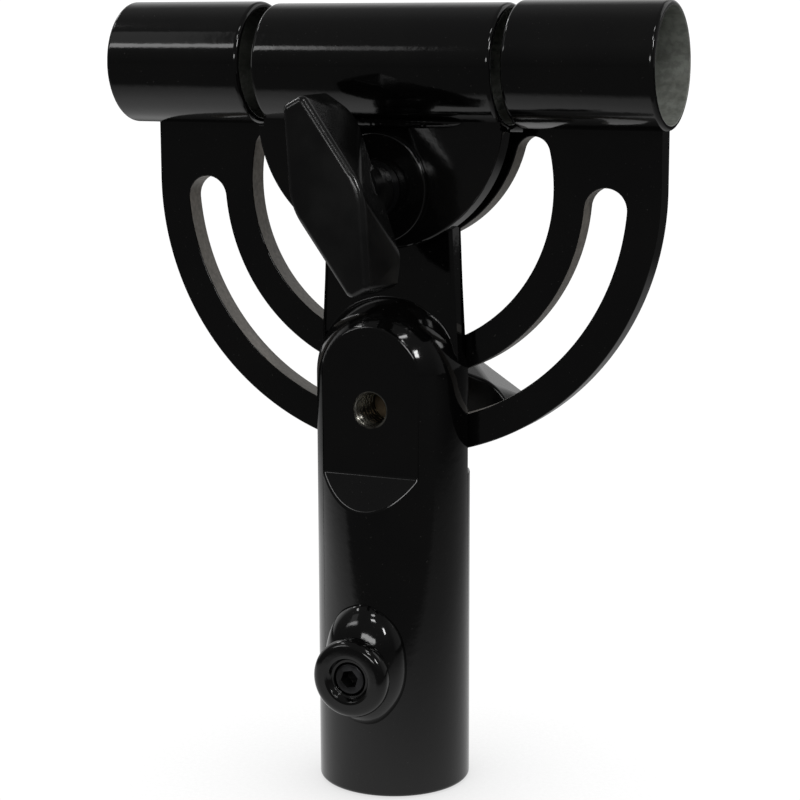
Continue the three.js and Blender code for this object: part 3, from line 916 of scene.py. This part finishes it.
def pivot_bolt():
    """A carriage bolt's domed head on the plate's back, and its shank."""
    crown = high("pivot_bolt").y
    seat = PLATE_BACK + HAIR
    head = eased([
        (0, seat), (BOLT_HEAD_R, seat, 0.25), (BOLT_HEAD_R, seat + 1.0, 0.5), (BOLT_CROWN_R, crown - 1.0, 9),
        (0, crown),
    ], 10)
    body = revolve(head, "y", (0, 0, PIVOT_Z), 72)
    return joined(body, cylinder("y", STUD_R, (0, 0, PIVOT_Z), low("pivot_bolt").y, seat + 1))


# ---- Knobs ----

def wing_outline(half, inset):
    """A wing's outline from half of its corners, each (x, z, radius), moved inwards by an inset."""
    points = half + [(-x, -z, r) for x, z, r in half]
    loop = []
    for i, (x, z, radius) in enumerate(points):
        corner = Vector((x, z))
        before = Vector(points[i - 1][:2])
        after = Vector(points[(i + 1) % len(points)][:2])
        into = (before - corner).normalized()
        away = (after - corner).normalized()
        centre = corner + (into + away).normalized() * (radius / math.sin(into.angle(away) / 2))
        rounded = eased([before, (x, z, radius), after], 10)[1:-1]
        loop += [point + (centre - point).normalized() * inset for point in rounded]
    return loop


def wings():
    """The knob's two wings: a hull over its front and back outlines, each with a rounded edge."""
    bm = bmesh.new()
    steps = 4
    faces = (
        (WING_FRONT, -WING_START - WING_DEPTH, WING_FRONT_EDGE, 1),
        (WING_BACK, -WING_START, WING_BACK_EDGE, -1),
    )
    for half, face_y, edge, inward in faces:
        for k in range(steps + 1):
            turn = math.pi / 2 * k / steps
            y = face_y + inward * edge * (1 - math.sin(turn))
            for x, z in wing_outline(half, edge * (1 - math.cos(turn))):
                bm.verts.new((x, y, z))
    hull = bmesh.ops.convex_hull(bm, input=bm.verts)
    inner = [item for item in hull["geom_interior"] if isinstance(item, bmesh.types.BMVert)]
    bmesh.ops.delete(bm, geom=inner, context="VERTS")
    return mesh_from(bm, "wings")


def knob(seat, outward, centre_z, spin):
    """A tee knob on a washer's face at seat, with its wings turned about Y by a spin in degrees. outward is
    -1 in front, 1 behind."""
    root = -WING_START - 4
    stem = eased([
        (0, -STEM_START), (STEM_FOOT_R, -STEM_START, 0.4), (STEM_R, -WING_START + 0.5, 3),
        (STEM_R - 0.2, root), (0, root),
    ], 6)
    body = joined(wings(), revolve(stem, "y"))
    turn = Matrix.Rotation(math.radians(spin), 4, "Y")
    if outward > 0:
        turn = Matrix.Rotation(math.pi, 4, "Z") @ turn
    body.transform(Matrix.Translation((0, seat * MM, centre_z * MM)) @ turn)
    return body


def collar(seat, outward, centre_z, bore):
    """The metal insert in a knob, with a wider foot at the washer."""
    start, end = COLLAR_FOOT
    points = eased([
        (bore, start), (COLLAR_FOOT_R, start, 0.3), (COLLAR_FOOT_R, end, 0.2), (COLLAR_R, end),
        (COLLAR_R, COLLAR_END), (bore, COLLAR_END),
    ], 3)
    profile = [(r, seat + outward * h) for r, h in points]
    return revolve(profile, "y", (0, 0, centre_z), closed=bore > 0)


def lock_stud():
    """The lock screw: a solid insert in the rear knob, and its thread."""
    rod = thread(STUD_R, STUD_THREAD_DEPTH, SCREW_TIP, SEAT_BACK + 2, LOCK_Z)
    return joined(collar(SEAT_BACK, 1, LOCK_Z, 0), rod)


# ---- The pieces: name, mesh, body, material and the nodes that it stands for ----

run_out_slope = math.atan2(BAR_R + FLAT_Y, RUN_OUT_HEIGHT)
run_out = Vector((0, -math.cos(run_out_slope), math.sin(run_out_slope)))
flat_foot = Vector((0, FLAT_Y, PIVOT_Z - FLAT_DROP))
BAR_SURFACES = [
    round_surface(BAR_R, (0, 0, 0), 2),
    round_surface(BAR_R, (0, 0, PIVOT_Z - DOME_DROP)),
    flat_surface((0, -1, 0), -FLAT_Y),
    flat_surface((0, -1, 0), TONGUE_HALF),
    flat_surface((0, 1, 0), TONGUE_HALF),
    flat_surface(run_out, flat_foot.dot(run_out)),
]
piece("bar", receiver_bar(), "receiver", ENAMEL, ["receiver_bar"], surfaces=BAR_SURFACES)
piece("bar_thread", hole_thread(), "receiver", BARE_THREAD, sharp=22)
piece("boss", boss(), "receiver", ENAMEL, ["screw_boss"])
piece("boss_bead", boss_weld(), "receiver", ENAMEL, ["boss_weld"], sharp=60)
piece("socket_screw", set_screw(), "screw", OXIDE, ["set_screw"])
piece("screw_tip", screw_tip(), "tip", BRASS, ["set_screw_tip"])

piece("head_plate", head_plate(), "head", PLATE_PAINTED_WALL_LIGHT, ["slotted_plate"])
for side in ("left", "right"):
    node = f"{side}_sleeve"
    piece(f"{side}_tube", sleeve(node, SLEEVE_Z), "head", OUTER_BORE, [node])
piece("middle_tube", sleeve("middle_sleeve", MIDDLE_Z), "clamp", MIDDLE_BORE, ["middle_sleeve"])
for side in ("left", "right"):
    node = f"{side}_weld_rear"
    bead = weld(node, SLEEVE_Z, PLATE_BACK, 1)
    piece(f"{side}_bead_rear", bead, "head", ENAMEL, [node], sharp=60)
bead = weld("middle_weld_front", MIDDLE_Z, DISC_FRONT, -1, 0.02)
piece("middle_bead_front", bead, "clamp", ENAMEL, ["middle_weld_front"], sharp=60)
piece("half_disc", half_disc(), "clamp", ENAMEL, ["half_disc_plate"])
piece("bolt", pivot_bolt(), "head", ZINC, ["pivot_bolt"])

piece("front_washer", washer("knob_washer", 0.4), "clamp", ENAMEL, ["knob_washer"])
piece("rear_washer", washer("lock_washer", 0.3), "lock_slide", ZINC, ["lock_washer"])
front_knob = knob(SEAT_FRONT, -1, PIVOT_Z, 0)
piece("front_knob", front_knob, "knob", NYLON, ["tee_knob"], sharp=50)
insert = collar(SEAT_FRONT, -1, PIVOT_Z, HOLE_R)
piece("front_collar", insert, "knob", OXIDE, ["tee_knob_collar"])
rear_knob = knob(SEAT_BACK, 1, LOCK_Z, REAR_KNOB_TURN)
piece("rear_knob", rear_knob, "lock_turn", NYLON, ["lock_knob"], sharp=50)
piece("stud", lock_stud(), "lock_turn", STUD_METAL, ["lock_screw"], sharp=50)


# ---- Studio, in metres ----

FLOOR_HALF = 6.0
FLOOR_GAP = 0.0002 # below the object's foot
SHADE_REACH = 0.09 # how far from the foot the painted shadow reaches
# What the table shows in the gloss: its centre in X and Y, then (distance, brightness).
TABLE_CENTRE = (-0.12, 0.05)
TABLE_GLOW = [
    (0.12, 0.78), (0.18, 0.58), (0.24, 0.40), (0.30, 0.26),
    (0.38, 0.20), (0.45, 0.16), (0.53, 0.07), (0.62, 0.02),
]
TABLE_EDGE = (-0.154, -0.114) # where the glow ends in front, measured in Y less a slant in X
TABLE_SLANT = 0.3
ROOM_GLOW = 0.1
ROOM_GLOW_BEHIND = 0.035
# Small lamps: azimuth from the front towards +X, elevation, both in degrees, width, height, brightness.
LAMPS = [
    (-112, 38, 0.20, 0.10, 8), (-77, 51, 0.20, 0.10, 8), (50, 60, 0.22, 0.08, 12),
    (37.5, 47, 0.22, 0.08, 16), (64, 31, 0.12, 0.20, 26), (12, 16, 0.50, 0.12, 8),
    (145, 38, 0.70, 0.60, 0.7), (-120, 30, 0.40, 0.30, 0.6),
]
LAMP_AIM = Vector((0, 0, 0.11))
LAMP_DISTANCE = 1.1
# Long lights along X, left of the front: X, Z, width, height, brightness. They overlap for a soft end, each
# a step behind the last, because lights in one plane don't add up in a mirror.
STRIPS = [
    (-0.90, 0.73, 0.80, 0.12, 1.6), (-0.86, 0.73, 0.86, 0.12, 1.0), (-0.86, 0.73, 0.60, 0.12, 2.3),
    (-1.12, 1.12, 0.75, 0.63, 0.45),
]
STRIP_Y = -0.85
STRIP_STEP = 0.01


def area_light(name, place, aim, width, height, level):
    """A rectangular light of an even brightness, whatever its size."""
    data = bpy.data.lights.new(name, "AREA")
    data.shape = "RECTANGLE"
    data.size, data.size_y = width, height
    data.energy = level * math.pi * width * height
    made = bpy.data.objects.new(name, data)
    bpy.context.scene.collection.objects.link(made)
    made.location = place
    made.rotation_euler = (Vector(aim) - Vector(place)).to_track_quat("-Z", "Y").to_euler()


def lights():
    """The long lights, which face straight back, and the small lamps, aimed at the bracket."""
    for k, (x, z, width, height, level) in enumerate(STRIPS):
        place = (x, STRIP_Y - STRIP_STEP * k, z)
        area_light(f"strip_{k}", place, (x, 0, SLEEVE_Z * MM), width, height, level)
    for k, (azimuth, elevation, width, height, level) in enumerate(LAMPS):
        a, e = math.radians(azimuth), math.radians(elevation)
        towards = Vector((math.sin(a) * math.cos(e), -math.cos(a) * math.cos(e), math.sin(e)))
        area_light(f"lamp_{k}", LAMP_AIM + LAMP_DISTANCE * towards, LAMP_AIM, width, height, level)


def table_glow(tree, where):
    """The floor's glow in the gloss, a painted pool of light: bright round the foot, dark in front of the
    table's edge.
    """
    x, y, _ = coordinates(tree, where)
    near = tree.nodes.new("ShaderNodeVectorMath")
    near.operation = "DISTANCE"
    near.inputs[1].default_value = (*TABLE_CENTRE, 0)
    tree.links.new(where, near.inputs[0])
    glow = tree.nodes.new("ShaderNodeValToRGB")
    stops = glow.color_ramp.elements
    stops.remove(stops[1])
    for k, (radius, level) in enumerate(TABLE_GLOW):
        stop = stops[0] if k == 0 else stops.new(radius)
        stop.position = radius
        stop.color = (level, level, level, 1)
    tree.links.new(near.outputs["Value"], glow.inputs["Fac"])
    slanted = math_node(tree, "SUBTRACT", y, math_node(tree, "MULTIPLY", x, TABLE_SLANT))
    kept = remap(tree, slanted, *TABLE_EDGE, 0.1, 1)
    far = remap(tree, y, -0.05, 0.25, ROOM_GLOW, ROOM_GLOW_BEHIND)
    return math_node(tree, "MAXIMUM", math_node(tree, "MULTIPLY", glow.outputs["Color"], kept), far)


def floor():
    """Pale paper that glows. The camera sees it white, with a painted soft shadow, from ambient occlusion,
    where something stands on it. In the object's gloss it glows as a painted pool of light: a bright table
    round the foot that falls away into a dark room."""
    bm = bmesh.new()
    bmesh.ops.create_grid(bm, x_segments=1, y_segments=1, size=FLOOR_HALF)
    mesh = bpy.data.meshes.new("floor")
    bm.to_mesh(mesh)
    bm.free()
    made = bpy.data.objects.new("floor", mesh)
    bpy.context.scene.collection.objects.link(made)
    made.location = (0, 0, CAD_LOW.z - FLOOR_GAP)
    material, tree, shader, where = new_material("floor_paper")
    fibre = noise(tree, where, 900, 3)
    shade = tree.nodes.new("ShaderNodeAmbientOcclusion")
    shade.inputs["Distance"].default_value = SHADE_REACH
    shade.samples = 8
    white = mixed(tree, remap(tree, fibre, 0.3, 0.7, 0, 1), (1.02, 1.02, 1.02), (1.06, 1.06, 1.06))
    # Painted shadow: the floor's glow is darkened where ambient occlusion finds something near.
    paper = mixed(tree, remap(tree, shade.outputs["AO"], 0.35, 1, 0, 1), (0.72, 0.72, 0.72), white)
    seen = tree.nodes.new("ShaderNodeLightPath").outputs["Is Camera Ray"]
    tree.links.new(mixed(tree, seen, table_glow(tree, where), paper), shader.inputs["Emission Color"])
    shader.inputs["Emission Strength"].default_value = 1.0
    shader.inputs["Base Color"].default_value = (0, 0, 0, 1)
    shader.inputs["Roughness"].default_value = 1.0
    shader.inputs["Specular IOR Level"].default_value = 0.0
    mesh.materials.append(material)


def world():
    """White to the camera. In the object's gloss, a dim room with a pale backdrop low behind on the left."""
    made = bpy.data.worlds.new("studio")
    bpy.context.scene.world = made
    made.use_nodes = True
    tree = made.node_tree
    background = tree.nodes["Background"]
    x, y, z = coordinates(tree, tree.nodes.new("ShaderNodeTexCoord").outputs["Generated"])
    room = remap(tree, z, 0.0, 0.6, 0.09, 0.17)
    backdrop = remap(tree, z, 0.42, 0.70, 0.6, 0.03)
    backdrop = math_node(tree, "MULTIPLY", backdrop, remap(tree, x, 0.0, 0.3, 1, 0.2))
    backdrop = math_node(tree, "MULTIPLY", backdrop, remap(tree, y, 0.0, 0.3, 0, 1))
    level = math_node(tree, "ADD", room, backdrop)
    seen = tree.nodes.new("ShaderNodeLightPath").outputs["Is Camera Ray"]
    strength = math_node(tree, "MAXIMUM", level, math_node(tree, "MULTIPLY", seen, 1.1))
    tree.links.new(strength, background.inputs["Strength"])
    background.inputs["Color"].default_value = (1, 1, 1, 1)


def camera():
    """A long lens, a little above the pivot and to the right of the front."""
    data = bpy.data.cameras.new("camera")
    data.sensor_width = 36
    data.lens = 95.8
    made = bpy.data.objects.new("camera", data)
    bpy.context.scene.collection.objects.link(made)
    made.location = (0.2151, -0.4758, PIVOT_Z * MM + 0.0411)
    heading, dip, roll = 0.421, 0.179, 0.003
    made.rotation_euler = (math.pi / 2 - dip, roll, heading)
    data.clip_start, data.clip_end = 0.01, 20
    bpy.context.scene.camera = made


floor()
world()
camera()
lights()
bpy.context.scene.view_settings.view_transform = "Standard"
